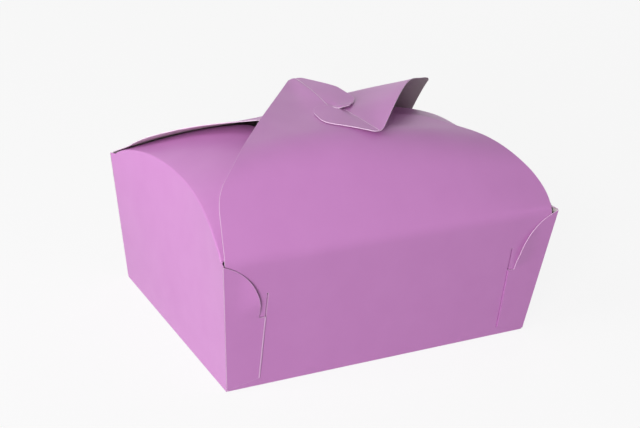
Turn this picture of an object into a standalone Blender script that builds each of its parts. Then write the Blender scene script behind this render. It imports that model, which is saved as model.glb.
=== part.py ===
"""A pastry box folded from one die-cut sheet of lilac paperboard.

The base and four flaring walls are held by four corner locks: each side wall
runs round the corner as a lug, and the lug's tongue goes in through a slit in
the front or rear wall. Curved side flaps lean in over the box, and two large
lid flaps arch over them and hook into each other with a pair of hook tabs.

Metres, +Z up, X to the right along the front wall, Y to the rear. The origin
is the middle of the base's underside. Every panel is cut flat, like the real
blank, then folded or bent to its place and given the thickness of the board.
"""

import math

import bmesh
import bpy
from mathutils import Vector

# Board
BOARD = 0.0005
CREASE_GAP = 0.0003
LAYER_GAP = 0.0003
TURN_RELIEF = 0.0004
CUT_OVERRUN = 0.004

# Base and walls, measured on the outer faces
BASE_LENGTH = 0.200
BASE_WIDTH = 0.154
WALL_HEIGHT = 0.084
SIDE_FLARE = 0.0089
FRONT_FLARE = 0.009
RIDGE_RISE = 0.048
ARCH_RISE_SHARE = 0.367
ARCH_BOW = 0.0108
ARCH_SPAN_SHARE = 0.94

# Corner locks
SLIT_PLACE = 0.0805
SLIT_BOTTOM = 0.0052
SLIT_TOP = 0.0614
SLIT_WIDTH = 0.0011
NECK_TOP = 0.0464
LUG_TOP_CLEARANCE = 0.0008
LUG_FOOT_RISE = 0.0012
LUG_EDGE = 0.004
LUG_SHOULDER_DROP = 0.0115
LUG_CORNER_RADIUS = 0.036
LUG_HOOK_RADIUS = 0.0016
TONGUE_LENGTH = 0.026
TONGUE_TAPER = 0.008
TONGUE_RADIUS = 0.005

# Side flaps
SIDE_FLAP_DEPTH = 0.062
SIDE_FLAP_END_ANGLE = math.radians(1)
SIDE_FLAP_BEND_SHARE = 0.975
SIDE_FLAP_MITRE = 0.052
SIDE_FLAP_END_INSET = 0.005
SIDE_FLAP_RADIUS = 0.012

# Lid flaps
FRONT_TIP_PLACE = 0.0573
REAR_TIP_PLACE = 0.0552
SHOULDER_INSET = 0.0042
SHOULDER_PLACE = 0.0354
SHOULDER_RADIUS = 0.0327
TIP_RADIUS = 0.0072
FRONT_ANGLE_SHARE = 1.967
FRONT_REACH_SHARE = 0.587
REAR_ANGLE_SHARE = 1.259
REAR_REACH_SHARE = 1.152
LEVEL_FADE_START = 0.006
LEVEL_FADE_LENGTH = 0.036

# How far the lid flaps sag or lift, as shares of their rise. A row stands for a place
# along the flap, and its values for the left edge, halfway, the middle, halfway and right edge
SAG_PLACE_SHARES = (0.0, 0.1, 0.2, 0.4, 0.6, 0.8, 1.0)
SAG_ACROSS_SHARES = (-1.0, -0.5, 0.0, 0.5, 1.0)
FRONT_SAG_SHARES = (
    (0.0, 0.0, 0.0, 0.0, 0.0),
    (0.017, 0.018, 0.0, -0.065, -0.171),
    (0.036, 0.022, 0.0, -0.078, -0.295),
    (-0.050, 0.002, 0.0, -0.048, -0.282),
    (-0.022, -0.023, 0.0, -0.026, -0.095),
    (-0.028, -0.076, 0.0, -0.002, -0.012),
    (0.0, 0.0, 0.0, 0.0, 0.0),
)
REAR_SAG_SHARES = (
    (0.0, 0.0, 0.0, 0.0, 0.0),
    (-0.046, 0.046, 0.0, 0.066, 0.173),
    (-0.058, 0.005, 0.0, 0.117, 0.274),
    (-0.126, -0.119, 0.0, 0.103, 0.169),
    (-0.086, -0.087, 0.0, 0.026, 0.157),
    (0.070, -0.018, 0.0, 0.031, 0.116),
    (0.0, 0.0, 0.0, 0.0, 0.0),
)

# Hook tabs, seen from above: the slits' line, the two creases and the tabs' outlines
KERF = 0.0006
SWAP_START = -0.0036
SWAP_LENGTH = 0.0046
SWAP_KEEP = 0.010
SWAP_SPREAD_SHARE = 1.2
FRONT_CREASE_FOOT = (-0.0036, -0.0004)
FRONT_CREASE_TOP_X = 0.0014
REAR_CREASE_FOOT = (0.0010, -0.0086)
REAR_CREASE_TOP_X = 0.0028
SWIRL_LEFT = (-0.0116, -0.0013)
SWIRL_MIDDLE = (-0.0010, -0.0056)
SWIRL_LOW = (0.0034, -0.0084)
SWIRL_RISE = (0.0082, -0.0056)
SWIRL_RIGHT = (0.0136, -0.0006)
FRONT_TAB_SIDE = (0.0174, 0.0255, 0.014)
FRONT_TAB_HOOK = (0.0198, 0.0088, 0.006)
REAR_TAB_SIDE = (-0.0165, -0.0300, 0.014)
REAR_TAB_HOOK = (-0.0196, -0.0160, 0.007)

ARC_STEPS = 6

LILAC = (0.74, 0.36, 0.70, 1.0)


# Small helpers


def smooth(t):
    t = min(max(t, 0.0), 1.0)
    return t * t * (3 - 2 * t)


def through(place, places, values):
    """A smooth curve through values that stand at rising places."""
    count = len(places)
    slopes = []
    for n in range(count):
        a = max(n - 1, 0)
        b = min(n + 1, count - 1)
        slopes.append((values[b] - values[a]) / (places[b] - places[a]))
    place = min(max(place, places[0]), places[-1])
    n = 0
    while n < count - 2 and place > places[n + 1]:
        n += 1
    step = places[n + 1] - places[n]
    t = (place - places[n]) / step
    start = (2 * t**3 - 3 * t**2 + 1) * values[n] + (t**3 - 2 * t**2 + t) * step * slopes[n]
    end = (3 * t**2 - 2 * t**3) * values[n + 1] + (t**3 - t**2) * step * slopes[n + 1]
    return start + end


def rounded(corners):
    """An outline through (x, y, radius) corners, each rounded by its radius."""
    outline = []
    count = len(corners)
    for n in range(count):
        here = Vector(corners[n][:2])
        radius = corners[n][2]
        if radius <= 0:
            outline.append(here)
            continue
        back = (Vector(corners[n - 1][:2]) - here).normalized()
        on = (Vector(corners[(n + 1) % count][:2]) - here).normalized()
        half = back.angle(on) / 2
        centre = here + (back + on).normalized() * radius / math.sin(half)
        start = here + back * radius / math.tan(half) - centre
        turn = start.angle_signed(here + on * radius / math.tan(half) - centre)
        for k in range(ARC_STEPS + 1):
            a = -turn * k / ARC_STEPS
            c, s = math.cos(a), math.sin(a)
            outline.append(centre + Vector((start.x * c - start.y * s, start.x * s + start.y * c)))
    return outline


def evenly(start, end, step):
    count = max(1, round((end - start) / step))
    return [start + (end - start) * k / count for k in range(count + 1)]


def board(name, outline, columns, rows, shape, origin=(0.0, 0.0, 0.0), parent=None):
    """Cut an outline flat, crease it along columns and rows, shape it, and thicken it."""
    bm = bmesh.new()
    bm.faces.new([bm.verts.new((p[0], p[1], 0.0)) for p in outline])
    for axis, places in ((0, columns), (1, rows)):
        across = Vector((1 - axis, axis, 0.0))
        for place in places:
            whole = bm.verts[:] + bm.edges[:] + bm.faces[:]
            bmesh.ops.bisect_plane(
                bm, geom=whole, dist=CREASE_GAP / 30, plane_co=across * place, plane_no=across
            )
    bmesh.ops.triangulate(bm, faces=bm.faces[:])
    centre = Vector(origin)
    for vert in bm.verts:
        vert.co = Vector(shape(vert.co.x, vert.co.y)) - centre
    bmesh.ops.recalc_face_normals(bm, faces=bm.faces[:])
    mesh = bpy.data.meshes.new(name)
    bm.to_mesh(mesh)
    bm.free()
    panel = bpy.data.objects.new(name, mesh)
    bpy.context.collection.objects.link(panel)
    panel.location = centre
    thick = panel.modifiers.new("board", "SOLIDIFY")
    thick.thickness = BOARD
    thick.offset = 0.0
    thick.use_even_offset = True
    mesh.materials.append(lilac_board(name))
    if parent:
        panel.parent = parent
        panel.location = centre - parent.location
    return panel


def lilac_board(name):
    material = bpy.data.materials.new(name)
    material.use_nodes = True
    shader = material.node_tree.nodes["Principled BSDF"]
    shader.inputs["Base Color"].default_value = LILAC
    shader.inputs["Roughness"].default_value = 0.42
    shader.inputs["Metallic"].default_value = 0.0
    return material


def empty(name, place):
    axis = bpy.data.objects.new(name, None)
    bpy.context.collection.objects.link(axis)
    axis.location = place
    return axis


# Base and walls


def front_face(height):
    """How far the middle of the front wall's board stands from the centre."""
    return BASE_WIDTH / 2 + FRONT_FLARE * height / WALL_HEIGHT - BOARD / 2


def side_face(height):
    return BASE_LENGTH / 2 + SIDE_FLARE * height / WALL_HEIGHT - BOARD / 2


def arch_height(share):
    """The curved crease's height along the side wall; share runs from -1 to 1."""
    span = abs(share) / ARCH_SPAN_SHARE
    return WALL_HEIGHT + arch_rise() * max(0.0, 1 - span**2.4) ** 0.8


def arch_rise():
    return ARCH_RISE_SHARE * RIDGE_RISE


def side_bow(share, height):
    """How far the side wall draws inward towards its arched crease."""
    return ARCH_BOW * (1 - share * share) * (height / (WALL_HEIGHT + arch_rise())) ** 2


def side_reach(height):
    """Half the side wall's run at a height, up to the front and rear walls' outer faces."""
    return front_face(min(height, WALL_HEIGHT)) + BOARD / 2


def add_base():
    x = BASE_LENGTH / 2 - BOARD - CREASE_GAP
    y = BASE_WIDTH / 2 - BOARD - CREASE_GAP
    outline = [(-x, -y), (x, -y), (x, y), (-x, y)]
    board("base_panel", outline, [], [], lambda a, b: (a, b, BOARD / 2))


def add_end_wall(name, side):
    """The front (side -1) or rear (side 1) wall with its two lock slits."""
    foot = BASE_LENGTH / 2 - BOARD - CREASE_GAP
    head = foot + SIDE_FLARE
    top = WALL_HEIGHT - CREASE_GAP / 2
    outline = [(-foot, 0.0), (foot, 0.0), (head, top), (-head, top)]
    wall = board(name, outline, [], [], lambda a, b: (a, side * front_face(b), b))
    for hand in (-1, 1):
        cutter = box_cutter(name, hand * SLIT_PLACE, side)
        cut = wall.modifiers.new("lock slit", "BOOLEAN")
        cut.operation = "DIFFERENCE"
        cut.solver = "EXACT"
        cut.object = cutter


def box_cutter(name, x, side):
    bm = bmesh.new()
    bmesh.ops.create_cube(bm, size=1.0)
    middle = (SLIT_BOTTOM + SLIT_TOP) / 2
    deep = 2 * (FRONT_FLARE + CUT_OVERRUN)
    for vert in bm.verts:
        vert.co.x = x + vert.co.x * SLIT_WIDTH
        vert.co.y = side * front_face(middle) + vert.co.y * deep
        vert.co.z = middle + vert.co.z * (SLIT_TOP - SLIT_BOTTOM)
    mesh = bpy.data.meshes.new(name + "_slit")
    bm.to_mesh(mesh)
    bm.free()
    cutter = bpy.data.objects.new(name + "_slit", mesh)
    bpy.context.collection.objects.link(cutter)
    cutter.hide_render = True
    cutter.display_type = "WIRE"
    return cutter


def add_side_wall(name, hand):
    """A side wall: it flares out, and bows in to a curved crease along its top."""
    shares = [math.sin(a) for a in evenly(-math.pi / 2, math.pi / 2, math.pi / 18)]
    level_shares = (0.3, 0.55, 0.75, 0.9)

    def shape(share, level):
        height = level * (arch_height(share) - TURN_RELIEF)
        x = side_face(height) - side_bow(share, height)
        return hand * x, share * side_reach(height), height

    outline = [(s, 0.0) for s in shares] + [(s, 1.0) for s in reversed(shares)]
    board(name, outline, shares[1:-1], level_shares, shape)


def add_lug(name, side, hand):
    """A corner lock: over the end wall, in through its slit and along its inner face."""
    outside = BOARD + CREASE_GAP
    through_wall = 2 * outside
    slit = SLIT_PLACE
    neck = through_wall
    root = side_face(0.0) - slit + BOARD / 2
    spread = SIDE_FLARE * (WALL_HEIGHT - LUG_TOP_CLEARANCE) / WALL_HEIGHT
    top = WALL_HEIGHT - LUG_TOP_CLEARANCE
    hook = NECK_TOP
    tongue_top = SLIT_TOP - CREASE_GAP
    tongue_foot = SLIT_BOTTOM + CREASE_GAP
    far = neck + TONGUE_LENGTH
    outline = rounded(
        [
            (-root, LUG_FOOT_RISE, 0.0),
            (-BOARD, tongue_foot, 0.0),
            (neck + BOARD, tongue_foot, 0.0),
            (far, tongue_foot + TONGUE_TAPER, TONGUE_RADIUS),
            (far, tongue_top - TONGUE_TAPER, TONGUE_RADIUS),
            (neck + BOARD, tongue_top, 0.0),
            (neck + BOARD, hook, 0.0),
            (-BOARD, hook, 0.0),
            (-LUG_EDGE, hook, LUG_HOOK_RADIUS / 2),
            (-LUG_EDGE, top - LUG_SHOULDER_DROP, LUG_CORNER_RADIUS),
            (-root - spread, top, 0.0),
        ]
    )

    def shape(a, height):
        if a <= 0.0:
            x, deep = slit - a, outside
        elif a < neck:
            x, deep = slit, outside - a
        else:
            x, deep = slit - (a - neck), outside - neck
        return hand * x, side * (front_face(height) + deep), height

    board(name, outline, (0.0, neck), (), shape)


# Side flaps


def crease_point(share):
    height = arch_height(share)
    x = side_face(height) - side_bow(share, height)
    return x, share * side_reach(height), height


def add_side_flap(name, hand, parent):
    """A curved side flap: from the arched crease in and up under the lid flaps."""
    full_bend = SIDE_FLAP_BEND_SHARE * math.atan2(RIDGE_RISE, BASE_LENGTH / 2)

    def shape(y, depth):
        share = y / side_reach(WALL_HEIGHT)
        x, _, height = crease_point(share)
        flatten = 1 - abs(share) ** 3
        start_angle = SIDE_FLAP_END_ANGLE + full_bend * flatten
        bend = full_bend / SIDE_FLAP_DEPTH
        angle = start_angle - bend * depth
        run = (math.sin(start_angle) - math.sin(angle)) / bend
        rise = (math.cos(angle) - math.cos(start_angle)) / bend
        return hand * (x - run), y, height + rise

    half = side_reach(WALL_HEIGHT) - SIDE_FLAP_END_INSET
    start = TURN_RELIEF
    inner = half - SIDE_FLAP_MITRE
    corners = [
        (-half, start, 0.0),
        (half, start, 0.0),
        (inner, SIDE_FLAP_DEPTH, SIDE_FLAP_RADIUS),
        (-inner, SIDE_FLAP_DEPTH, SIDE_FLAP_RADIUS),
    ]
    columns = [half * math.sin(a) for a in evenly(-math.pi / 2, math.pi / 2, math.pi / 18)][1:-1]
    rows = evenly(start, SIDE_FLAP_DEPTH, SIDE_FLAP_DEPTH / 6)[1:-1]
    origin = (hand * side_face(WALL_HEIGHT), 0.0, WALL_HEIGHT)
    board(name, rounded(corners), columns, rows, shape, origin, parent)


# Lid flaps and hook tabs


class Lid:
    """One lid flap's sizes; direction is the way it reaches, towards +Y or -Y."""

    def __init__(self, direction, tip_place, angle_share, reach_share, sag_shares):
        half = front_face(WALL_HEIGHT)
        self.direction = direction
        self.sag_shares = sag_shares
        self.angle = angle_share * math.atan2(RIDGE_RISE, half)
        self.reach = reach_share * half
        self.run = RIDGE_RISE / math.tan(self.angle / 2) - self.reach
        self.radius = (RIDGE_RISE - self.run * math.sin(self.angle)) / (1 - math.cos(self.angle))
        self.level = self.run + self.radius * self.angle
        self.length = self.level + tip_place + half - self.reach

    def profile(self, s):
        """Inward distance and rise: a straight run, an arc, then level."""
        if s <= self.run:
            return s * math.cos(self.angle), s * math.sin(self.angle)
        left = max(self.angle - (s - self.run) / self.radius, 0.0)
        turned = math.sin(self.angle) - math.sin(left)
        risen = math.cos(left) - math.cos(self.angle)
        inward = self.run * math.cos(self.angle) + self.radius * turned
        height = self.run * math.sin(self.angle) + self.radius * risen
        return inward + max(s - self.level, 0.0), height

    def flat(self, y):
        """Distance along the board of a place past the straight run."""
        inward = self.direction * y + front_face(WALL_HEIGHT)
        if inward >= self.reach:
            return self.level + inward - self.reach
        return self.level - self.radius * math.asin((self.reach - inward) / self.radius)

    def shoulder(self):
        return side_face(WALL_HEIGHT) - SHOULDER_INSET

    def half_width(self, s):
        if s <= SHOULDER_PLACE:
            return side_face(WALL_HEIGHT) - SHOULDER_INSET * s / SHOULDER_PLACE
        left = max(self.length - s, 0.0) / (self.length - SHOULDER_PLACE)
        return self.shoulder() * left

    def height(self, x, s):
        """The profile's height, with its droop or lift towards the edges."""
        return WALL_HEIGHT + self.profile(s)[1] + self.sag(x, s)

    def sag(self, x, s):
        across = min(max(x / max(self.half_width(s), TIP_RADIUS), -1.0), 1.0)
        rows = [through(across, SAG_ACROSS_SHARES, row) for row in self.sag_shares]
        return RIDGE_RISE * through(s / self.length, SAG_PLACE_SHARES, rows)

    def tip_centre(self):
        half = math.atan2(self.shoulder(), self.length - SHOULDER_PLACE)
        return self.length - TIP_RADIUS / math.sin(half)

    def tip_height(self, x):
        """Distance along the board where the rounded tip meets a place across it."""
        return self.tip_centre() + math.sqrt(TIP_RADIUS**2 - x**2)


def swirl_line():
    """The slits' line across the box, left to right, seen from above."""
    end = side_face(WALL_HEIGHT)
    line = [(-end, SWIRL_LEFT[1]), SWIRL_LEFT, FRONT_CREASE_FOOT, SWIRL_MIDDLE]
    line += [REAR_CREASE_FOOT, SWIRL_LOW, SWIRL_RISE, SWIRL_RIGHT, (end, SWIRL_RIGHT[1])]
    return line


def swirl(x):
    line = swirl_line()
    n = 0
    while n < len(line) - 2 and x > line[n + 1][0]:
        n += 1
    t = (x - line[n][0]) / (line[n + 1][0] - line[n][0])
    return line[n][1] + (line[n + 1][1] - line[n][1]) * t


def lift(x, y, s, count_from, turn):
    """Height in the stack: it changes by one board and gap where the flaps swap places."""
    away = max(abs(y - swirl(x)) - SWAP_KEEP, 0.0)
    width = SWAP_LENGTH + SWAP_SPREAD_SHARE * away
    swap = smooth((x - SWAP_START - SWAP_LENGTH / 2) / width + 0.5)
    fade = smooth((s - LEVEL_FADE_START) / LEVEL_FADE_LENGTH)
    return (BOARD + LAYER_GAP) * (count_from + turn * swap) * fade


FRONT = Lid(1, FRONT_TIP_PLACE, FRONT_ANGLE_SHARE, FRONT_REACH_SHARE, FRONT_SAG_SHARES)
REAR = Lid(-1, REAR_TIP_PLACE, REAR_ANGLE_SHARE, REAR_REACH_SHARE, REAR_SAG_SHARES)


def front_shape(x, s):
    y = FRONT.profile(s)[0] - front_face(WALL_HEIGHT)
    above = y > swirl(x)
    up = lift(x, y, s, 1, 1) if above else lift(x, y, s, 1, -1)
    return x, y, FRONT.height(x, s) + up


def rear_shape(x, s):
    y = front_face(WALL_HEIGHT) - REAR.profile(s)[0]
    above = y > swirl(x)
    up = lift(x, y, s, 0, 1) if above else lift(x, y, s, 2, -1)
    return x, y, REAR.height(x, s) + up


def crease_at(y, foot, top_x, tip_place):
    """Where a hook tab's crease stands across the box, for a place along it."""
    share = (y - foot[1]) / (tip_place - foot[1])
    return foot[0] + (top_x - foot[0]) * min(max(share, 0.0), 1.0)


def front_tab_shape(x, y):
    """The front hook tab goes on from its own flap, over the rear flap."""
    s = FRONT.flat(y)
    crease = crease_at(y, FRONT_CREASE_FOOT, FRONT_CREASE_TOP_X, FRONT_TIP_PLACE)
    return x, y, FRONT.height(crease, s) + lift(x, y, s, 1, 1)


def rear_tab_shape(x, y):
    """The rear hook tab goes on from its own flap, and lies on the front flap."""
    s = REAR.flat(y)
    crease = crease_at(y, REAR_CREASE_FOOT, REAR_CREASE_TOP_X, -REAR_TIP_PLACE)
    sag = REAR.sag(crease, s) + FRONT.sag(min(x, 0.0), FRONT.flat(y))
    return x, y, WALL_HEIGHT + RIDGE_RISE + sag + lift(x, y, s, 2, -1)


def swap_columns():
    return [SWAP_START + SWAP_LENGTH * k / 4 for k in range(5)]


def add_lid(name, lid, shape, slit_hand, foot, top_x, parent):
    """A lid flap, cut by its slit and by the crease of its hook tab."""
    base = side_face(WALL_HEIGHT)
    start = CREASE_GAP
    hand = slit_hand
    full = rounded(
        [
            (-hand * base, start, 0.0),
            (hand * base, start, 0.0),
            (hand * lid.shoulder(), SHOULDER_PLACE, SHOULDER_RADIUS),
            (0.0, lid.length, TIP_RADIUS),
            (-hand * lid.shoulder(), SHOULDER_PLACE, SHOULDER_RADIUS),
        ]
    )
    arc = ARC_STEPS + 1
    near, tip, far = full[: 2 + arc], full[2 + arc : 2 + 2 * arc], full[2 + 2 * arc :]
    line = [p for p in swirl_line() if hand * p[0] > hand * foot[0] - KERF]
    line.sort(key=lambda p: -hand * p[0])
    side = -KERF / 2 * lid.direction
    slit = [(p[0], lid.flat(p[1] + side)) for p in line[1:]]
    edge_place = slit[0][1]
    slit[:0] = [(hand * lid.half_width(edge_place), edge_place)]
    crease_x = top_x - hand * CREASE_GAP
    slit[-1] = (foot[0] - hand * CREASE_GAP, slit[-1][1])
    top = (crease_x, lid.tip_height(crease_x))
    rest = [p for p in tip if hand * p[0] < hand * crease_x - CREASE_GAP]
    outline = near + slit + [top] + rest + far
    rows = evenly(0.0, lid.run, SHOULDER_PLACE / 3)[1:]
    rows += evenly(lid.run, lid.level, lid.level / 12)[1:]
    rows += evenly(lid.level, lid.length, TIP_RADIUS)[1:-1]
    wide = [TIP_RADIUS] + evenly(2 * TIP_RADIUS, base, base / 12)[:-1]
    columns = [-x for x in wide] + swap_columns() + wide
    board(name, outline, columns, rows, shape, parent.location, parent)


def tab_outline(lid, hand, foot, top_x, side, hook):
    """A hook tab: its crease, the lid's rounded tip, a hooked side and the slit's line."""
    crease_x = top_x + hand * CREASE_GAP
    far = lid.direction * (lid.tip_height(crease_x) - lid.flat(0.0))
    line = [p for p in swirl_line() if hand * p[0] > hand * foot[0] - KERF]
    line.sort(key=lambda p: -hand * p[0])
    kept = [p for p in line if hand * p[0] < hand * hook[0]]
    slit = [(p[0], p[1] + KERF / 2 * lid.direction, 0.0) for p in kept]
    slit[-1] = (foot[0] + hand * CREASE_GAP, slit[-1][1], 0.0)
    corners = [(crease_x, far, 0.0), (crease_x + hand * TIP_RADIUS / 2, far, TIP_RADIUS / 2)]
    return rounded(corners + [side, hook] + slit)


def add_tab(name, outline, shape, foot, top_x, tip_y, parent):
    """A hook tab, hinged on its crease."""
    foot_point = Vector(shape(*foot))
    top_point = Vector(shape(top_x, tip_y))
    rows = evenly(min(p[1] for p in outline), max(p[1] for p in outline), TIP_RADIUS)[1:-1]
    wide = [TIP_RADIUS, 2 * TIP_RADIUS]
    columns = [-x for x in wide] + swap_columns() + wide
    axis = empty(name + "_crease", foot_point)
    axis.parent = parent
    axis.location = foot_point - parent.location
    print(name, "crease from", tuple(foot_point), "to", tuple(top_point))
    return board(name, outline, columns, rows, shape, foot_point, parent)


def build():
    for thing in list(bpy.data.objects):
        bpy.data.objects.remove(thing, do_unlink=True)

    add_base()
    add_end_wall("front_wall", -1)
    add_end_wall("rear_wall", 1)
    add_side_wall("left_wall", -1)
    add_side_wall("right_wall", 1)
    for side, end in ((-1, "front"), (1, "rear")):
        for hand, corner in ((-1, "left"), (1, "right")):
            add_lug(f"{end}_{corner}_lock", side, hand)

    for hand, name in ((-1, "left"), (1, "right")):
        axis = empty(name + "_flap_fold", (hand * side_face(WALL_HEIGHT), 0.0, WALL_HEIGHT))
        add_side_flap(name + "_side_flap", hand, axis)

    front_fold = empty("front_lid_fold", (0.0, -front_face(WALL_HEIGHT), WALL_HEIGHT))
    rear_fold = empty("rear_lid_fold", (0.0, front_face(WALL_HEIGHT), WALL_HEIGHT))
    front_cut = (FRONT_CREASE_FOOT, FRONT_CREASE_TOP_X)
    rear_cut = (REAR_CREASE_FOOT, REAR_CREASE_TOP_X)
    add_lid("front_lid_flap", FRONT, front_shape, 1, *front_cut, front_fold)
    add_lid("rear_lid_flap", REAR, rear_shape, -1, *rear_cut, rear_fold)
    outline = tab_outline(FRONT, 1, *front_cut, FRONT_TAB_SIDE, FRONT_TAB_HOOK)
    tip = outline[0][1]
    add_tab("front_hook_tab", outline, front_tab_shape, *front_cut, tip, front_fold)
    outline = tab_outline(REAR, -1, *rear_cut, REAR_TAB_SIDE, REAR_TAB_HOOK)
    tip = outline[0][1]
    add_tab("rear_hook_tab", outline, rear_tab_shape, *rear_cut, tip, rear_fold)


build()
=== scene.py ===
"""The looks of the lilac pastry box, as fine, smooth sheets of board.

The forms follow the part's own sizes, in metres and in the part's frame. Each wall
and its lid or side flap are one sheet, folded between them. The board is lilac and
faintly glossy outside, off-white on the inner side but painted darker and lilac there as
shade, and pale pink where the die has cut it.
"""

import math

import bmesh
import bpy
from mathutils import Matrix, Vector


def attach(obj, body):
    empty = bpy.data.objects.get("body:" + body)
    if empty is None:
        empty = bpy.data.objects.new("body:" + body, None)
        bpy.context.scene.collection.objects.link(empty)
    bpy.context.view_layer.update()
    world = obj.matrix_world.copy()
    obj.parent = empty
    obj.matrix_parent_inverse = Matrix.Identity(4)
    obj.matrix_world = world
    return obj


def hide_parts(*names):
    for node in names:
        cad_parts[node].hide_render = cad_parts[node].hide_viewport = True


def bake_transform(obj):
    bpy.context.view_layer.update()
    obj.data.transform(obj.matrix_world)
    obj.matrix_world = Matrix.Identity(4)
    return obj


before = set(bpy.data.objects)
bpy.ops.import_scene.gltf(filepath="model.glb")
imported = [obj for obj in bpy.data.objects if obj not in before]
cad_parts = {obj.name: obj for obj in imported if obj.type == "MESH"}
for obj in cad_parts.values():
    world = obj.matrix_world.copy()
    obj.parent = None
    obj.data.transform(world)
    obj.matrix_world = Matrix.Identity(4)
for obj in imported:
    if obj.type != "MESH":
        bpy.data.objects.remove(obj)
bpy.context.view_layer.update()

# The part's sizes
BOARD = 0.0005
CREASE_GAP = 0.0003
LAYER_GAP = 0.0003
FINE_GAP = 0.00012
SHEET = 0.0004
BASE_LENGTH = 0.200
BASE_WIDTH = 0.154
WALL_HEIGHT = 0.084
SIDE_FLARE = 0.0089
FRONT_FLARE = 0.009
RIDGE_RISE = 0.048
ARCH_RISE_SHARE = 0.367
ARCH_BOW = 0.0108
ARCH_SPAN_SHARE = 0.94
ARCH_SPAN_POWER = 2.4
ARCH_RISE_POWER = 0.8

# Corner locks
SLIT_PLACE = 0.0805
SLIT_BOTTOM = 0.0052
SLIT_TOP = 0.0614
SLIT_INNER = 0.00065
SLIT_OUTER = 0.0003
SLIT_CUT_DEPTH = 3 * FRONT_FLARE
NECK_TOP = 0.0464
LUG_TOP_CLEARANCE = 0.0008
LUG_FOOT_RISE = 0.0012
LUG_EDGE = 0.004
LUG_SHOULDER_DROP = 0.0115
LUG_CORNER_RADIUS = 0.036
LUG_HOOK_RADIUS = 0.0016
LUG_CURL = 0.0020
TONGUE_LENGTH = 0.026
TONGUE_TAPER = 0.008
TONGUE_RADIUS = 0.005
TONGUE_ASIDE = 0.0016
TONGUE_ASIDE_START = 0.3

# Side flaps
SIDE_FLAP_DEPTH = 0.062
SIDE_FLAP_END_ANGLE = math.radians(1)
SIDE_FLAP_BEND_SHARE = 0.975
SIDE_FLAP_BEND_POWER = 3
SIDE_FLAP_MITRE = 0.052
SIDE_FLAP_END_INSET = 0.0025
SIDE_FLAP_RADIUS = 0.012
SIDE_FOLD_SHARE = 0.012

# Lid flaps. A shoulder is an inset, a place along the flap and a radius
FRONT_TIP_PLACE = 0.0573
REAR_TIP_PLACE = 0.0562
FRONT_INSETS = (0.0008, 0.0036)
REAR_INSETS = (0.0, 0.0)
CORNER_INSET_DROP = 0.014
SHOULDER_INSET = 0.0042
SHOULDER_PLACE = 0.0354
SHOULDER_RADIUS = 0.0327
FRONT_RIGHT_SHOULDER = (0.0013, 0.0244, 0.0344)
REAR_LEFT_SHOULDER = (0.0050, 0.0425, 0.0270)
TIP_RADIUS = 0.0072
REAR_TIP_RADIUS = 0.0110
FRONT_ANGLE_SHARE = 1.967
FRONT_REACH_SHARE = 0.587
REAR_ANGLE_SHARE = 1.259
REAR_REACH_SHARE = 1.152
LEVEL_FADE_START = 0.006
LEVEL_FADE_LENGTH = 0.036

# How far the lid flaps sag or lift, as shares of their rise. A row stands for a place
# along the flap, and its values for the left edge, halfway, the middle, halfway and the
# right edge
SAG_PLACE_SHARES = (0.0, 0.1, 0.2, 0.4, 0.6, 0.8, 1.0)
SAG_ACROSS_SHARES = (-1.0, -0.5, 0.0, 0.5, 1.0)
FRONT_SAG_SHARES = (
    (0.0, 0.0, 0.0, 0.0, 0.0),
    (0.017, 0.018, 0.0, -0.043, -0.157),
    (0.036, 0.022, 0.0, -0.081, -0.232),
    (-0.050, 0.002, 0.0, -0.107, -0.246),
    (-0.022, -0.023, 0.0, -0.125, -0.195),
    (-0.028, -0.034, 0.0, -0.137, -0.366),
    (-0.042, -0.042, -0.042, -0.042, -0.042),
)
REAR_SAG_SHARES = (
    (0.0, 0.0, 0.0, 0.0, 0.0),
    (-0.060, 0.110, 0.0, 0.066, 0.173),
    (-0.105, 0.015, 0.0, 0.117, 0.274),
    (-0.126, -0.119, 0.0, 0.103, 0.169),
    (-0.086, -0.087, 0.0, 0.026, 0.157),
    (0.070, -0.018, 0.0, 0.031, 0.116),
    (0.0, 0.0, 0.0, 0.0, 0.0),
)

# Hook tabs, seen from above: the slits' line, the two creases, and the corners of the
# tabs' outlines with their radii
KERF = 0.0006
SWAP_START = -0.0036
SWAP_LENGTH = 0.0046
SWAP_KEEP = 0.010
SWAP_SPREAD_SHARE = 1.2
FRONT_CREASE_FOOT = (-0.0056, -0.0044)
FRONT_CREASE_TOP_X = 0.0011
REAR_CREASE_FOOT = (0.0011, -0.0119)
REAR_CREASE_TOP_X = 0.0028
SWIRL_LEFT = (-0.0105, -0.0030)
SWIRL_MIDDLE = (-0.0048, -0.0092)
SWIRL_TURN = (-0.0022, -0.0118)
SWIRL_LOW = (0.0046, -0.0110)
SWIRL_RISE = (0.0094, -0.0064)
SWIRL_RIGHT = (0.0128, -0.0014)
FRONT_TAB_SIDE = (0.0150, 0.0250, 0.016)
FRONT_TAB_HOOK = (0.0154, 0.0024, 0.006)
REAR_TAB_SIDE = (-0.0222, -0.0300, 0.014)
REAR_TAB_BULGE = (-0.0198, -0.0125, 0.010)
REAR_TAB_HOOK = (-0.0150, -0.0030, 0.005)
HOOK_RISE_SHARE = 1.3
HOOK_RISE_LENGTH = 0.004

# Layers of board under a sheet, behind the slits' line and before it: their count at the
# left, and how many join it towards the right
FRONT_LAYERS_BEHIND = (1, 1)
FRONT_LAYERS_BEFORE = (1, -1)
REAR_LAYERS_BEHIND = (0, 1)
REAR_LAYERS_BEFORE = (2, -1)

# Fineness, and the roundness that the board keeps where it is folded
CELL = 0.003
BASE_CELL = 0.02
WALL_LEVEL_STEP = 0.04
SIDE_TURN_STEP = math.pi / 90
FOLD_STEPS = 3
LID_FOLD = 0.005
LID_FOLD_STEPS = 5
ARC_STEPS = 14
SWAP_STEPS = 8
TAB_COLUMN_START = 0.0024
TAB_COLUMN_END = 0.024
CUT_REACH = 0.00001
SHARP_ANGLE = math.radians(38)

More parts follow.
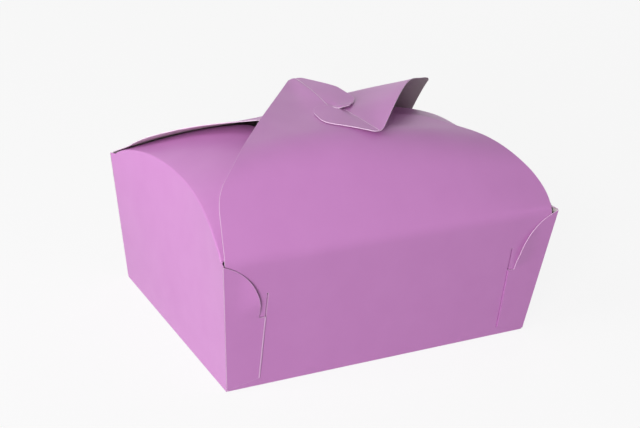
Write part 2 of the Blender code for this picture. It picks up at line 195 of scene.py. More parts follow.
# The materials' places on each piece
SKIN_INDEX = 0
INSIDE_INDEX = 1
EDGE_INDEX = 2
LUG_FOLD_HIGHLIGHT_INDEX = 3

# Paperboard: clouds, felted fibres, gloss and worn edges
CLOUD_SCALE = 55.0
CLOUD_DETAIL = 4.0
FIBRE_SCALE = 1400.0
FIBRE_DETAIL = 3.0
FIBRE_DEPTH = 0.00005
SMOOTHER = 0.05
ROUGHER = 0.07
COAT_ROUGHNESS = 0.35
WEAR_WIDTH = 0.0005
WEAR_SAMPLES = 6
WEAR_START = 0.98
WEAR_END = 0.80
WEAR_SHARE = 0.7
# Width of the painted highlight along the front left lug's fold
LUG_FOLD_HIGHLIGHT_WIDTH = 0.0005

# Floor and world
FLOOR_SIZE = 6.0
FLOOR_PLACE = (0.0, 0.0, -0.0002)
FLOOR_COLOR = (0.92, 0.92, 0.92)
FLOOR_DIM_COLOR = (0.35, 0.35, 0.35)
FLOOR_ROUGHNESS = 0.9
FLOOR_GLOW_SHARE = 0.88
WORLD_STRENGTH = 0.15
WHITE_STRENGTH = 1.0

# Lights: name, place, watts and whether glossy surfaces show it
LIGHT_TARGET = (0.0, 0.0, 0.06)
LIGHT_SIZE = 0.9
LIGHTS = (
    ("left", (-1.6, 0.1, 0.5), 4.5, True),
    ("key", (-1.3, -0.2, 1.2), 7.1, True),
    ("front", (-1.3, -1.35, 0.5), 25.5, False),
    ("rear", (1.1, 1.5, 0.55), 6.0, False),
)

# The camera that took the photograph
CAMERA_PLACE = (-0.3916, -0.6976, 0.4142)
CAMERA_AZIMUTH = math.radians(-29.01)
CAMERA_ELEVATION = math.radians(23.84)
CAMERA_ROLL = math.radians(3.59)
CAMERA_LENS = 80.0
CAMERA_SENSOR = 36.0


# Materials


def shader_of(name, color, roughness):
    material = bpy.data.materials.new(name)
    material.use_nodes = True
    shader = material.node_tree.nodes["Principled BSDF"]
    shader.inputs["Base Color"].default_value = (*color, 1.0)
    shader.inputs["Roughness"].default_value = roughness
    return material, material.node_tree, shader


def noise_at(place, tree, scale, detail):
    texture = tree.nodes.new("ShaderNodeTexNoise")
    texture.inputs["Scale"].default_value = scale
    texture.inputs["Detail"].default_value = detail
    tree.links.new(place.outputs["Object"], texture.inputs["Vector"])
    return texture.outputs["Fac"]


def worn_share(tree):
    """How near a place is to an edge or fold of the board, from 0 to the wear's share."""
    bevel = tree.nodes.new("ShaderNodeBevel")
    bevel.samples = WEAR_SAMPLES
    bevel.inputs["Radius"].default_value = WEAR_WIDTH
    surface = tree.nodes.new("ShaderNodeNewGeometry")
    likeness = tree.nodes.new("ShaderNodeVectorMath")
    likeness.operation = "DOT_PRODUCT"
    tree.links.new(bevel.outputs["Normal"], likeness.inputs[0])
    tree.links.new(surface.outputs["Normal"], likeness.inputs[1])
    worn = tree.nodes.new("ShaderNodeMapRange")
    worn.inputs["From Min"].default_value = WEAR_START
    worn.inputs["From Max"].default_value = WEAR_END
    worn.inputs["To Max"].default_value = WEAR_SHARE
    tree.links.new(likeness.outputs["Value"], worn.inputs["Value"])
    return worn.outputs["Result"]


def mixed(tree, share, first, second):
    """A colour between two; each is a colour or another node's output."""
    mix = tree.nodes.new("ShaderNodeMix")
    mix.data_type = "RGBA"
    tree.links.new(share, mix.inputs["Factor"])
    for name, color in (("A", first), ("B", second)):
        if isinstance(color, tuple):
            mix.inputs[name].default_value = (*color, 1.0)
        else:
            tree.links.new(color, mix.inputs[name])
    return mix.outputs["Result"]


def paper(name, color, second, roughness, grain, coat=0.0, worn=None):
    """Paperboard: clouded colour, uneven gloss, a bump of felted fibres, and worn edges."""
    material, tree, shader = shader_of(name, color, roughness)
    place = tree.nodes.new("ShaderNodeTexCoord")
    cloud = noise_at(place, tree, CLOUD_SCALE, CLOUD_DETAIL)
    fibre = noise_at(place, tree, FIBRE_SCALE, FIBRE_DETAIL)
    tone = mixed(tree, cloud, color, second)
    if worn:
        tone = mixed(tree, worn_share(tree), tone, worn)
    tree.links.new(tone, shader.inputs["Base Color"])
    gloss = tree.nodes.new("ShaderNodeMapRange")
    gloss.inputs["To Min"].default_value = roughness - SMOOTHER
    gloss.inputs["To Max"].default_value = roughness + ROUGHER
    tree.links.new(cloud, gloss.inputs["Value"])
    tree.links.new(gloss.outputs["Result"], shader.inputs["Roughness"])
    bump = tree.nodes.new("ShaderNodeBump")
    bump.inputs["Strength"].default_value = grain
    bump.inputs["Distance"].default_value = FIBRE_DEPTH
    tree.links.new(fibre, bump.inputs["Height"])
    tree.links.new(bump.outputs["Normal"], shader.inputs["Normal"])
    shader.inputs["Coat Weight"].default_value = coat
    shader.inputs["Coat Roughness"].default_value = COAT_ROUGHNESS
    return material


# A skin's colour, second colour, roughness and grain, and its coat
LILAC = ((0.70, 0.285, 0.67), (0.66, 0.262, 0.63), 0.45, 0.25, 0.15)
PALE = (0.93, 0.72, 0.90)
OUTSIDE = paper("lilac outside", *LILAC)
WORN = paper("lilac outside, worn edges", *LILAC, PALE)
# Painted shade: the inner off-white board is drawn darker and tinted lilac, standing for shade and
# lilac bounce light on the inner faces
INSIDE = paper("off-white board inside, painted darker and lilac as shade", (0.68, 0.60, 0.61), (0.62, 0.54, 0.56), 0.7, 0.4)
# Painted highlight: a pale strip along the front left lug's fold, where the light from the left
# falls
LUG_FOLD_HIGHLIGHT = paper("painted highlight on lug fold", (0.93, 0.60, 0.90), (0.90, 0.56, 0.87), 0.6, 0.4)
EDGE = paper("cut edge", PALE, (0.88, 0.66, 0.85), 0.75, 0.5)


# Shapes


def smooth(t):
    """From 0 to 1 as t does, with a level start and end."""
    t = min(max(t, 0.0), 1.0)
    return t * t * (3 - 2 * t)


def through(place, places, values):
    """The value at a place, on a smooth curve through the values at the places."""
    count = len(places)
    slopes = []
    for n in range(count):
        a = max(n - 1, 0)
        b = min(n + 1, count - 1)
        slopes.append((values[b] - values[a]) / (places[b] - places[a]))
    place = min(max(place, places[0]), places[-1])
    n = 0
    while n < count - 2 and place > places[n + 1]:
        n += 1
    step = places[n + 1] - places[n]
    t = (place - places[n]) / step
    start = (2 * t**3 - 3 * t**2 + 1) * values[n] + (t**3 - 2 * t**2 + t) * step * slopes[n]
    end = (3 * t**2 - 2 * t**3) * values[n + 1] + (t**3 - t**2) * step * slopes[n + 1]
    return start + end


def rounded(corners):
    """An outline through corners of x, y and radius, each rounded by an arc."""
    outline = []
    count = len(corners)
    for n in range(count):
        here = Vector(corners[n][:2])
        radius = corners[n][2]
        if radius <= 0:
            outline.append(here)
            continue
        back = (Vector(corners[n - 1][:2]) - here).normalized()
        on = (Vector(corners[(n + 1) % count][:2]) - here).normalized()
        half = back.angle(on) / 2
        centre = here + (back + on).normalized() * radius / math.sin(half)
        start = here + back * radius / math.tan(half) - centre
        turn = start.angle_signed(here + on * radius / math.tan(half) - centre)
        for k in range(ARC_STEPS + 1):
            a = -turn * k / ARC_STEPS
            c, s = math.cos(a), math.sin(a)
            outline.append(centre + Vector((start.x * c - start.y * s, start.x * s + start.y * c)))
    return outline


def evenly(start, end, step):
    """Places from start to end, about a step apart."""
    count = max(1, round((end - start) / step))
    return [start + (end - start) * k / count for k in range(count + 1)]


def board(name, outline, columns, rows, shape, outward, body, nodes, skin=WORN, folded=None):
    """One panel: an outline cut flat, bent to its shape, with an outside, inside and edge.

    The function called folded says where the rim is a fold, which shows the skin.
    """
    bm = bmesh.new()
    bm.faces.new([bm.verts.new((p[0], p[1], 0.0)) for p in outline])
    for axis, places in ((0, columns), (1, rows)):
        across = Vector((1 - axis, axis, 0.0))
        for place in places:
            whole = bm.verts[:] + bm.edges[:] + bm.faces[:]
            cut = {"plane_co": across * place, "plane_no": across}
            bmesh.ops.bisect_plane(bm, geom=whole, dist=CUT_REACH, **cut)
    for vert in bm.verts:
        vert.co = Vector(shape(vert.co.x, vert.co.y))
    bm.normal_update()
    facing = sum((f.normal * f.calc_area() for f in bm.faces), Vector())
    if facing.dot(Vector(outward)) < 0:
        bmesh.ops.reverse_faces(bm, faces=bm.faces[:])
    mesh = bpy.data.meshes.new(name)
    bm.to_mesh(mesh)
    bm.free()
    mesh.shade_smooth()
    panel = bpy.data.objects.new(name, mesh)
    bpy.context.collection.objects.link(panel)
    for material in (skin, INSIDE, EDGE):
        mesh.materials.append(material)
    thick = panel.modifiers.new("board", "SOLIDIFY")
    thick.thickness = SHEET
    thick.offset = 0.0
    thick.use_even_offset = True
    thick.material_offset = INSIDE_INDEX
    thick.material_offset_rim = EDGE_INDEX
    bake(panel)
    for face in panel.data.polygons:
        if face.material_index == EDGE_INDEX and folded and folded(face.center):
            face.material_index = SKIN_INDEX
    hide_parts(*nodes)
    if body:
        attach(panel, body)
    return panel


def bake(panel):
    """Apply the piece's modifiers, so that later cuts and folds act on the real board."""
    graph = bpy.context.evaluated_depsgraph_get()
    mesh = bpy.data.meshes.new_from_object(panel.evaluated_get(graph))
    panel.modifiers.clear()
    panel.data = mesh
    mesh.set_sharp_from_angle(angle=SHARP_ANGLE)


def front_face(height):
    """Distance of an end wall's middle from the box's middle plane, at a height."""
    return BASE_WIDTH / 2 + FRONT_FLARE * height / WALL_HEIGHT - BOARD / 2


def side_face(height):
    """Distance of a side wall's middle from the box's middle plane, at a height."""
    return BASE_LENGTH / 2 + SIDE_FLARE * height / WALL_HEIGHT - BOARD / 2


def arch_rise():
    return ARCH_RISE_SHARE * RIDGE_RISE


def arch_height(share):
    """Height of a side wall's arched top, at a share of its half width."""
    span = abs(share) / ARCH_SPAN_SHARE
    return WALL_HEIGHT + arch_rise() * max(0.0, 1 - span**ARCH_SPAN_POWER) ** ARCH_RISE_POWER


def side_bow(share, height):
    """How far a side wall is bowed inward at a share of its half width and a height."""
    return ARCH_BOW * (1 - share * share) * (height / (WALL_HEIGHT + arch_rise())) ** 2


def side_reach(height):
    """Half the width of a side wall, at a height."""
    return front_face(min(height, WALL_HEIGHT)) + BOARD / 2


def add_base():
    x = BASE_LENGTH / 2 - BOARD - FINE_GAP
    y = BASE_WIDTH / 2 - BOARD - FINE_GAP
    outline = [(-x, -y), (x, -y), (x, y), (-x, y)]
    columns = evenly(-x, x, BASE_CELL)[1:-1]

    def shape(across, along):
        return across, along, BOARD / 2

    def folded(place):
        """All four edges of the base are folds."""
        return True

    cells = (columns, [])
    below = (0, 0, -1)
    board("base_sheet", outline, *cells, shape, below, "box", ["base_panel"], OUTSIDE, folded)


def add_side(name, hand):
    """A side wall and its flap: one sheet, folded along the arch between them."""
    full_bend = SIDE_FLAP_BEND_SHARE * math.atan2(RIDGE_RISE, BASE_LENGTH / 2)
    bend = full_bend / SIDE_FLAP_DEPTH
    reach = side_reach(WALL_HEIGHT)

    def creased(share, level):
        height = min(level, 1.0) * arch_height(share)
        x = side_face(height) - side_bow(share, height)
        if level <= 1.0:
            return hand * x, share * side_reach(height), height
        flatten = 1 - abs(share) ** SIDE_FLAP_BEND_POWER
        start_angle = SIDE_FLAP_END_ANGLE + full_bend * flatten
        angle = start_angle - bend * (level - 1.0) * SIDE_FLAP_DEPTH
        run = (math.sin(start_angle) - math.sin(angle)) / bend
        rise = (math.cos(angle) - math.cos(start_angle)) / bend
        return hand * (x - run), share * reach, height + rise

    def shape(share, level):
        t = (level - 1.0) / (2 * SIDE_FOLD_SHARE) + 0.5
        if not 0.0 < t < 1.0:
            return creased(share, level)
        around = [1.0 + k * SIDE_FOLD_SHARE for k in (-1, 0, 1)]
        low, corner, high = [Vector(creased(share, near)) for near in around]
        return low * (1 - t) ** 2 + corner * 2 * t * (1 - t) + high * t**2

    half = reach - SIDE_FLAP_END_INSET
    inner = half - SIDE_FLAP_MITRE
    flap = rounded(
        [
            (half, 0.0, 0.0),
            (inner, SIDE_FLAP_DEPTH, SIDE_FLAP_RADIUS),
            (-inner, SIDE_FLAP_DEPTH, SIDE_FLAP_RADIUS),
            (-half, 0.0, 0.0),
        ]
    )
    outline = [(-1.0, 0.0), (1.0, 0.0), (1.0, 1.0)]
    outline += [(p[0] / reach, 1.0 + p[1] / SIDE_FLAP_DEPTH) for p in flap] + [(-1.0, 1.0)]
    turns = evenly(-math.pi / 2, math.pi / 2, SIDE_TURN_STEP)
    columns = [math.sin(turn) for turn in turns][1:-1]
    fold_start, fold_end = 1.0 - SIDE_FOLD_SHARE, 1.0 + SIDE_FOLD_SHARE
    rows = evenly(0.0, fold_start, WALL_LEVEL_STEP)[1:]
    rows += evenly(fold_start, fold_end, SIDE_FOLD_SHARE / FOLD_STEPS)[1:]
    rows += evenly(fold_end, 2.0, CELL / SIDE_FLAP_DEPTH)[1:-1]

    def folded(place):
        return place.z < WALL_HEIGHT

    cells = (columns, rows)
    nodes = [name + "_wall", name + "_side_flap"]
    out = (hand, 0, 0)
    sheet = board(name + "_sheet", outline, *cells, shape, out, None, nodes, OUTSIDE, folded)
    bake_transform(sheet)


def add_lug(name, side, hand, node, painted_fold_highlight):
    """A corner lock: a lug outside the end wall, a neck in the slit and a tongue inside."""
    outside = BOARD + LAYER_GAP
    neck = 2 * outside
    root = side_face(0.0) - SLIT_PLACE + BOARD / 2
    top = WALL_HEIGHT - LUG_TOP_CLEARANCE
    spread = SIDE_FLARE * top / WALL_HEIGHT
    tongue_top = SLIT_TOP - CREASE_GAP
    tongue_foot = SLIT_BOTTOM + CREASE_GAP
    far = neck + TONGUE_LENGTH
    outline = rounded(
        [
            (-root, LUG_FOOT_RISE, 0.0),
            (-BOARD, tongue_foot, 0.0),
            (neck + BOARD, tongue_foot, 0.0),
            (far, tongue_foot + TONGUE_TAPER, TONGUE_RADIUS),
            (far, tongue_top - TONGUE_TAPER, TONGUE_RADIUS),
            (neck + SHEET / 2, tongue_top, 0.0),
            (neck + SHEET / 2, NECK_TOP, 0.0),
            (-BOARD, NECK_TOP, 0.0),
            (-LUG_EDGE, NECK_TOP, LUG_HOOK_RADIUS / 2),
            (-LUG_EDGE, top - LUG_SHOULDER_DROP, LUG_CORNER_RADIUS),
            (-root - spread, top, 0.0),
        ]
    )

    def shape(a, height):
        if a <= 0.0:
            free = smooth((height - NECK_TOP) / LUG_SHOULDER_DROP) * smooth(1 + a / root)
            room = front_face(top) - front_face(height)
            x, deep = SLIT_PLACE - a, outside + min(LUG_CURL * free, room)
        elif a < neck:
            x, deep = SLIT_PLACE, outside - a
        else:
            over_neck = (height - NECK_TOP) / TONGUE_ASIDE - TONGUE_ASIDE_START
            aside = TONGUE_ASIDE * smooth(over_neck)
            x, deep = SLIT_PLACE - (a - neck) + aside, outside - neck
        return hand * x, side * (front_face(height) + deep), height

    columns = [-LUG_FOLD_HIGHLIGHT_WIDTH, 0.0, neck]
    columns += evenly(-root, -CELL, CELL) + evenly(neck + CELL, far, CELL)[:-1]
    rows = evenly(CELL, WALL_HEIGHT, CELL)[:-1]
    # Painted highlight: only the front left lug, which faces the light, gets pale worn edges and a
    # pale strip along its fold
    skin = WORN if painted_fold_highlight else OUTSIDE
    cells = (sorted(columns), rows)
    lug = board(name, outline, *cells, shape, (0, side, 0), "box", [node], skin)
    if painted_fold_highlight:
        lug.data.materials.append(LUG_FOLD_HIGHLIGHT)
        for face in lug.data.polygons:
            x, y, height = face.center
            if abs(x) < SLIT_PLACE + LUG_FOLD_HIGHLIGHT_WIDTH and side * y > front_face(height):
                face.material_index = LUG_FOLD_HIGHLIGHT_INDEX


class Lid:
    """One lid flap's sizes; direction is the way it reaches, towards +Y or -Y.

    A place across the flap is called x, and a distance along the board from its fold s.
    """

    def __init__(self, direction, tip_place, tip_radius, angle_share, reach_share, sag_shares):
        half = front_face(WALL_HEIGHT)
        self.direction = direction
        self.tip_radius = tip_radius
        self.sag_shares = sag_shares
        self.angle = angle_share * math.atan2(RIDGE_RISE, half)
        self.reach = reach_share * half
        self.run = RIDGE_RISE / math.tan(self.angle / 2) - self.reach
        self.radius = (RIDGE_RISE - self.run * math.sin(self.angle)) / (1 - math.cos(self.angle))
        self.level = self.run + self.radius * self.angle
        self.length = self.level + tip_place + half - self.reach

    def profile(self, s):
        """Inward distance and rise: a straight run, an arc, then level."""
        if s <= self.run:
            return s * math.cos(self.angle), s * math.sin(self.angle)
        left = max(self.angle - (s - self.run) / self.radius, 0.0)
        turned = math.sin(self.angle) - math.sin(left)
        risen = math.cos(left) - math.cos(self.angle)
        inward = self.run * math.cos(self.angle) + self.radius * turned
        height = self.run * math.sin(self.angle) + self.radius * risen
        return inward + max(s - self.level, 0.0), height

    def flat(self, y):
        """Distance along the board of a place past the straight run."""
        inward = self.direction * y + front_face(WALL_HEIGHT)
        if inward >= self.reach:
            return self.level + inward - self.reach
        return self.level - self.radius * math.asin((self.reach - inward) / self.radius)

    def shoulder(self):
        """Half the flap's width at its shoulders."""
        return side_face(WALL_HEIGHT) - SHOULDER_INSET

    def half_width(self, s):
        """Half the flap's width at a distance along the board, with sharp corners."""
        if s <= SHOULDER_PLACE:
            return side_face(WALL_HEIGHT) - SHOULDER_INSET * s / SHOULDER_PLACE
        left = max(self.length - s, 0.0) / (self.length - SHOULDER_PLACE)
        return self.shoulder() * left

    def height(self, x, s):
        """The profile's height, with its droop or lift towards the edges."""
        return WALL_HEIGHT + self.profile(s)[1] + self.sag(x, s)

    def sag(self, x, s):
        """The droop or lift alone."""
        across = min(max(x / max(self.half_width(s), TIP_RADIUS), -1.0), 1.0)
        rows = [through(across, SAG_ACROSS_SHARES, row) for row in self.sag_shares]
        return RIDGE_RISE * through(s / self.length, SAG_PLACE_SHARES, rows)

    def tip_centre(self):
        """Distance along the board to the centre of the rounded tip."""
        half = math.atan2(self.shoulder(), self.length - SHOULDER_PLACE)
        return self.length - self.tip_radius / math.sin(half)

    def tip_height(self, x):
        """Distance along the board where the rounded tip meets a place across it."""
        return self.tip_centre() + math.sqrt(self.tip_radius**2 - x**2)

    def along(self, s):
        """Inward distance and height of the wall (s under 0) and lid, softly folded between."""
        fold = LID_FOLD
        if s <= -fold:
            return FRONT_FLARE * -s / WALL_HEIGHT, s
        if s >= fold:
            return self.profile(s)
        low = Vector((FRONT_FLARE * fold / WALL_HEIGHT, -fold))
        high = Vector(self.profile(fold))
        t = (s + fold) / (2 * fold)
        return tuple(low * (1 - t) ** 2 + high * t**2)


def swirl_line():
    """The slits' line across the box, left to right, seen from above."""
    end = side_face(WALL_HEIGHT)
    line = [(-end, SWIRL_LEFT[1]), SWIRL_LEFT, FRONT_CREASE_FOOT, SWIRL_MIDDLE, SWIRL_TURN]
    line += [REAR_CREASE_FOOT, SWIRL_LOW, SWIRL_RISE, SWIRL_RIGHT, (end, SWIRL_RIGHT[1])]
    return line


def swirl(x):
    """The slits' line as a place along the box, for a place across it."""
    line = swirl_line()
    n = 0
    while n < len(line) - 2 and x > line[n + 1][0]:
        n += 1
    t = (x - line[n][0]) / (line[n + 1][0] - line[n][0])
    return line[n][1] + (line[n + 1][1] - line[n][1]) * t


def lift(x, y, s, count_from, turn):
    """Height in the stack: it changes by one board and gap where the flaps swap places."""
    away = max(abs(y - swirl(x)) - SWAP_KEEP, 0.0)
    width = SWAP_LENGTH + SWAP_SPREAD_SHARE * away
    swap = smooth((x - SWAP_START - SWAP_LENGTH / 2) / width + 0.5)
    fade = smooth((s - LEVEL_FADE_START) / LEVEL_FADE_LENGTH)
    return (BOARD + LAYER_GAP) * (count_from + turn * swap) * fade


FRONT_CURVE = (FRONT_ANGLE_SHARE, FRONT_REACH_SHARE, FRONT_SAG_SHARES)
FRONT = Lid(1, FRONT_TIP_PLACE, TIP_RADIUS, *FRONT_CURVE)
REAR_CURVE = (REAR_ANGLE_SHARE, REAR_REACH_SHARE, REAR_SAG_SHARES)
REAR = Lid(-1, REAR_TIP_PLACE, REAR_TIP_RADIUS, *REAR_CURVE)


def sheet_shape(lid, layers_behind, layers_before):
    """The wall and lid flap of one side as one surface, by place across and along."""

    def shape(x, s):
        inward, rise = lid.along(s)
        y = lid.direction * (inward - front_face(WALL_HEIGHT))
        layers = layers_behind if y > swirl(x) else layers_before
        up = lift(x, y, s, *layers)
        sag = lid.sag(x, s) if s > 0 else 0.0
        return x, y, WALL_HEIGHT + rise + sag + up

    return shape


def crease_at(y, foot, top_x, tip_place):
    """Where a hook tab's crease stands across the box, for a place along it."""
    share = (y - foot[1]) / (tip_place - foot[1])
    return foot[0] + (top_x - foot[0]) * min(max(share, 0.0), 1.0)


def front_tab_shape(x, y):
    """The front hook tab goes on from its own flap, over the rear flap."""
    s = FRONT.flat(y)
    crease = crease_at(y, FRONT_CREASE_FOOT, FRONT_CREASE_TOP_X, FRONT_TIP_PLACE)
    on_top = HOOK_RISE_SHARE * smooth((FRONT_CREASE_FOOT[1] - y) / HOOK_RISE_LENGTH)
    count, turn = FRONT_LAYERS_BEHIND
    return x, y, FRONT.height(crease, s) + lift(x, y, s, count + on_top, turn)


def rear_tab_shape(x, y):
    """The rear hook tab goes on from its own flap, and lies on the front flap."""
    s = REAR.flat(y)
    crease = crease_at(y, REAR_CREASE_FOOT, REAR_CREASE_TOP_X, -REAR_TIP_PLACE)
    sag = REAR.sag(crease, s) + FRONT.sag(min(x, 0.0), FRONT.flat(y))
    up = lift(x, y, s, *REAR_LAYERS_BEFORE)
    return x, y, WALL_HEIGHT + RIDGE_RISE + sag + up


def swap_columns():
    return [SWAP_START + SWAP_LENGTH * k / SWAP_STEPS for k in range(SWAP_STEPS + 1)]


def slit_corners(hand, foot):
    """The corners of the slits' line from a crease's foot outward, outermost first."""
    line = [p for p in swirl_line() if hand * p[0] > hand * foot[0] - KERF]
    return sorted(line, key=lambda p: -hand * p[0])


def add_sheet(which, lid, shape, hand, foot, top_x, shoulder, insets):
    """An end wall and its lid flap, one sheet softly folded along the wall's top.

    The hand says on which side the slit is. The insets are those of the fold's corners,
    first of the far side and then of the slit's side, which has its own shoulder.
    """
    base = side_face(WALL_HEIGHT)
    bottom = side_face(0.0) - BOARD
    drop = CORNER_INSET_DROP
    side = base - BOARD - SIDE_FLARE * drop / WALL_HEIGHT
    sharp = [
        (-hand * (base - BOARD - insets[0]), 0.0, 0.0),
        (-hand * side, -drop, 0.0),
        (-hand * bottom, -WALL_HEIGHT, 0.0),
        (hand * bottom, -WALL_HEIGHT, 0.0),
        (hand * side, -drop, 0.0),
        (hand * (base - BOARD - insets[1]), 0.0, 0.0),
    ]
    round_ones = [
        (hand * (base - shoulder[0]), *shoulder[1:]),
        (0.0, lid.length, lid.tip_radius),
        (-hand * lid.shoulder(), SHOULDER_PLACE, SHOULDER_RADIUS),
    ]
    full = rounded(sharp + round_ones)
    arc = ARC_STEPS + 1
    tip_start = len(sharp) + arc
    tip_end = tip_start + arc
    near, tip, far = full[:tip_start], full[tip_start:tip_end], full[tip_end:]
    aside = -KERF / 2 * lid.direction
    slit = [(p[0], lid.flat(p[1] + aside)) for p in slit_corners(hand, foot)[1:]]
    edge_place = slit[0][1]
    slit[:0] = [(hand * lid.half_width(edge_place), edge_place)]
    crease_x = top_x - hand * FINE_GAP
    slit[-1] = (foot[0] - hand * FINE_GAP, slit[-1][1])
    top = (crease_x, lid.tip_height(crease_x))
    rest = [p for p in tip if hand * p[0] < hand * crease_x - CREASE_GAP]
    outline = near + slit + [top] + rest + far
    rows = evenly(-WALL_HEIGHT, -LID_FOLD, 2 * CELL)[1:]
    rows += evenly(-LID_FOLD, LID_FOLD, LID_FOLD / LID_FOLD_STEPS)[1:]
    rows += evenly(LID_FOLD, lid.length, CELL)[1:-1]
    wide = evenly(TIP_RADIUS, base, CELL)[:-1]
    cells = ([-x for x in wide] + swap_columns() + wide, rows)
    out = (0, -lid.direction, 1)
    nodes = [which + "_wall", which + "_lid_flap"]
    sheet = board(which + "_sheet", outline, *cells, shape, out, None, nodes)
    cut_slits(sheet, -lid.direction)
    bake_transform(sheet)


def cut_slits(sheet, side):
    """Cut the two slits for the locks; the right one has no pale edge, as painted shade: its cut
    rim and the skin beside it stay plain lilac, where light from the left does not reach.
    """
    for hand in (-1, 1):
        bm = bmesh.new()
        bmesh.ops.create_cube(bm, size=1.0)
        place = SLIT_PLACE + (SLIT_OUTER - SLIT_INNER) / 2
        middle = (SLIT_BOTTOM + SLIT_TOP) / 2
        for vert in bm.verts:
            vert.co.x = hand * place + vert.co.x * (SLIT_INNER + SLIT_OUTER)
            vert.co.y = side * front_face(middle) + vert.co.y * SLIT_CUT_DEPTH
            vert.co.z = middle + vert.co.z * (SLIT_TOP - SLIT_BOTTOM)
        mesh = bpy.data.meshes.new("slit")
        bm.to_mesh(mesh)
        bm.free()
        # Painted shade: the right slit's cut rim takes the lilac skin instead of the pale cut edge
        mesh.materials.append(EDGE if hand < 0 else OUTSIDE)
        cutter = bpy.data.objects.new("slit", mesh)
        bpy.context.collection.objects.link(cutter)
        cut = sheet.modifiers.new("slit", "BOOLEAN")
        cut.operation = "DIFFERENCE"
        cut.solver = "EXACT"
        cut.object = cutter
        bake(sheet)
        bpy.data.objects.remove(cutter, do_unlink=True)
    skins = list(sheet.data.materials)
    if OUTSIDE not in skins:
        sheet.data.materials.append(OUTSIDE)
        skins.append(OUTSIDE)
    # Painted shade: the skin beside the right slit loses its pale worn edges
    for face in sheet.data.polygons:
        near = abs(face.center.x - SLIT_PLACE) < CELL and face.center.z < SLIT_TOP
        if near and face.material_index == SKIN_INDEX:
            face.material_index = skins.index(OUTSIDE)


def tab_outline(lid, hand, foot, top_x, sides):
    """A hook tab's outline: crease, tip, its free side and the slit."""
    crease_x = top_x + hand * FINE_GAP
    far = lid.direction * (lid.tip_height(crease_x) - lid.flat(0.0))
    kept = [p for p in slit_corners(hand, foot) if hand * p[0] < hand * sides[-1][0]]
    slit = [(p[0], p[1] + KERF / 2 * lid.direction, 0.0) for p in kept]
    slit[-1] = (foot[0] + hand * FINE_GAP, slit[-1][1], 0.0)
    tip_x = crease_x + hand * TIP_RADIUS / 2
    corners = [(crease_x, far, 0.0), (tip_x, far, TIP_RADIUS / 2)]
    return rounded(corners + sides + slit)


def add_tab(which, outline, shape):
    places = [p[1] for p in outline]
    rows = evenly(min(places), max(places), CELL / 2)[1:-1]
    wide = evenly(TAB_COLUMN_START, TAB_COLUMN_END, CELL / 2)
    cells = (sorted([-x for x in wide] + swap_columns() + wide), rows)
    body, nodes = which + "_hook", [which + "_hook_tab"]
    board(which + "_tab", outline, *cells, shape, (0, 0, 1), body, nodes)


def add_box():
    add_base()
    for hand, name in ((-1, "left"), (1, "right")):
        add_side(name, hand)
        for side, end in ((-1, "front"), (1, "rear")):
            # Painted highlight: only the front left lug's fold and edges are drawn pale, as lit
            # from the left
            painted_fold_highlight = (end, name) == ("front", "left")
            add_lug(f"{end}_{name}_lug", side, hand, f"{end}_{name}_lock", painted_fold_highlight)
    front_cut = (FRONT_CREASE_FOOT, FRONT_CREASE_TOP_X)
    rear_cut = (REAR_CREASE_FOOT, REAR_CREASE_TOP_X)
    shape = sheet_shape(FRONT, FRONT_LAYERS_BEHIND, FRONT_LAYERS_BEFORE)
    add_sheet("front", FRONT, shape, 1, *front_cut, FRONT_RIGHT_SHOULDER, FRONT_INSETS)
    shape = sheet_shape(REAR, REAR_LAYERS_BEHIND, REAR_LAYERS_BEFORE)
    add_sheet("rear", REAR, shape, -1, *rear_cut, REAR_LEFT_SHOULDER, REAR_INSETS)
    sides = [FRONT_TAB_SIDE, FRONT_TAB_HOOK]
    add_tab("front", tab_outline(FRONT, 1, *front_cut, sides), front_tab_shape)
    sides = [REAR_TAB_SIDE, REAR_TAB_BULGE, REAR_TAB_HOOK]
    add_tab("rear", tab_outline(REAR, -1, *rear_cut, sides), rear_tab_shape)


# Floor, light and camera


def math_of(tree, operation, first, second):
    """One sum on another node's output; second is an output too, or a number."""
    node = tree.nodes.new("ShaderNodeMath")
    node.operation = operation
    tree.links.new(first, node.inputs[0])
    if isinstance(second, float):
        node.inputs[1].default_value = second
    else:
        tree.links.new(second, node.inputs[1])
    return node.outputs["Value"]


def seen_share(tree):
    """1 where the camera sees a place, itself or in gloss or glass, and else 0."""
    path = tree.nodes.new("ShaderNodeLightPath").outputs
    seen = math_of(tree, "MAXIMUM", path["Is Camera Ray"], path["Is Glossy Ray"])
    return math_of(tree, "MAXIMUM", seen, path["Is Transmission Ray"])


def shader_mix(tree, share, first, second, end):
    """Two shaders mixed by a share, into the tree's last node."""
    mix = tree.nodes.new("ShaderNodeMixShader")
    tree.links.new(share, mix.inputs["Fac"])
    tree.links.new(first, mix.inputs[1])
    tree.links.new(second, mix.inputs[2])
    tree.links.new(mix.outputs["Shader"], tree.nodes[end].inputs["Surface"])


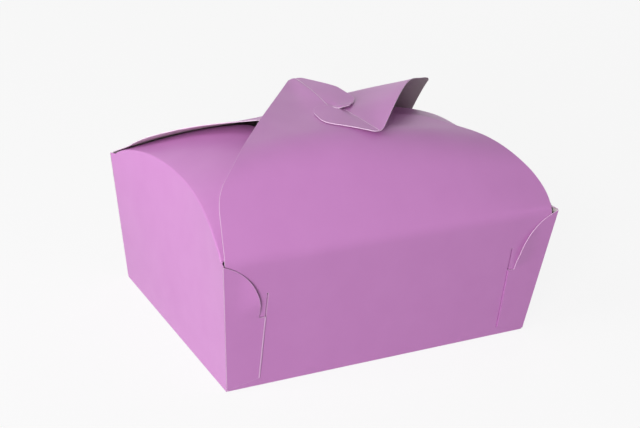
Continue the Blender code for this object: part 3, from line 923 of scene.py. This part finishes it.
def add_stage():
    """A pale floor that looks nearly white, keeps shadows and throws little light back."""
    bpy.ops.mesh.primitive_plane_add(size=FLOOR_SIZE, location=FLOOR_PLACE)
    floor = bpy.context.object
    floor.name = "floor"
    material, tree, shader = shader_of("pale floor", FLOOR_COLOR, FLOOR_ROUGHNESS)
    shader.inputs["Specular IOR Level"].default_value = 0.0
    seen = seen_share(tree)
    tone = mixed(tree, seen, FLOOR_DIM_COLOR, FLOOR_COLOR)
    tree.links.new(tone, shader.inputs["Base Color"])
    glow = tree.nodes.new("ShaderNodeEmission").outputs["Emission"]
    share = math_of(tree, "MULTIPLY", seen, FLOOR_GLOW_SHARE)
    shader_mix(tree, share, shader.outputs["BSDF"], glow, "Material Output")
    floor.data.materials.append(material)


def add_light(name, place, power, glossy):
    data = bpy.data.lights.new(name, "AREA")
    data.shape = "DISK"
    data.size = LIGHT_SIZE
    data.energy = power
    light = bpy.data.objects.new(name, data)
    bpy.context.collection.objects.link(light)
    light.location = place
    light.visible_glossy = glossy
    way = Vector(LIGHT_TARGET) - Vector(place)
    light.rotation_euler = way.to_track_quat("-Z", "Y").to_euler()


def add_world():
    """A plain white surrounding that gives little light."""
    world = bpy.data.worlds.new("studio")
    bpy.context.scene.world = world
    world.use_nodes = True
    tree = world.node_tree
    dim = tree.nodes["Background"]
    white = tree.nodes.new("ShaderNodeBackground")
    for back, strength in ((dim, WORLD_STRENGTH), (white, WHITE_STRENGTH)):
        back.inputs["Color"].default_value = (1.0, 1.0, 1.0, 1.0)
        back.inputs["Strength"].default_value = strength
    backs = (dim.outputs["Background"], white.outputs["Background"])
    shader_mix(tree, seen_share(tree), *backs, "World Output")


def add_camera():
    roll = CAMERA_ROLL
    level = math.cos(CAMERA_ELEVATION)
    x, y = math.sin(CAMERA_AZIMUTH) * level, -math.cos(CAMERA_AZIMUTH) * level
    back = Vector((x, y, math.sin(CAMERA_ELEVATION)))
    right = (-back).cross(Vector((0, 0, 1))).normalized()
    up = right.cross(-back)
    tilted = right * math.cos(roll) + up * math.sin(roll)
    upright = up * math.cos(roll) - right * math.sin(roll)
    data = bpy.data.cameras.new("camera")
    data.lens = CAMERA_LENS
    data.sensor_width = CAMERA_SENSOR
    camera = bpy.data.objects.new("camera", data)
    bpy.context.collection.objects.link(camera)
    turn = Matrix((tilted, upright, back)).transposed().to_4x4()
    camera.matrix_world = Matrix.Translation(CAMERA_PLACE) @ turn
    bpy.context.scene.camera = camera


add_box()
add_stage()
add_world()
for settings in LIGHTS:
    add_light(*settings)
add_camera()

bpy.context.scene.view_settings.view_transform = "Standard"
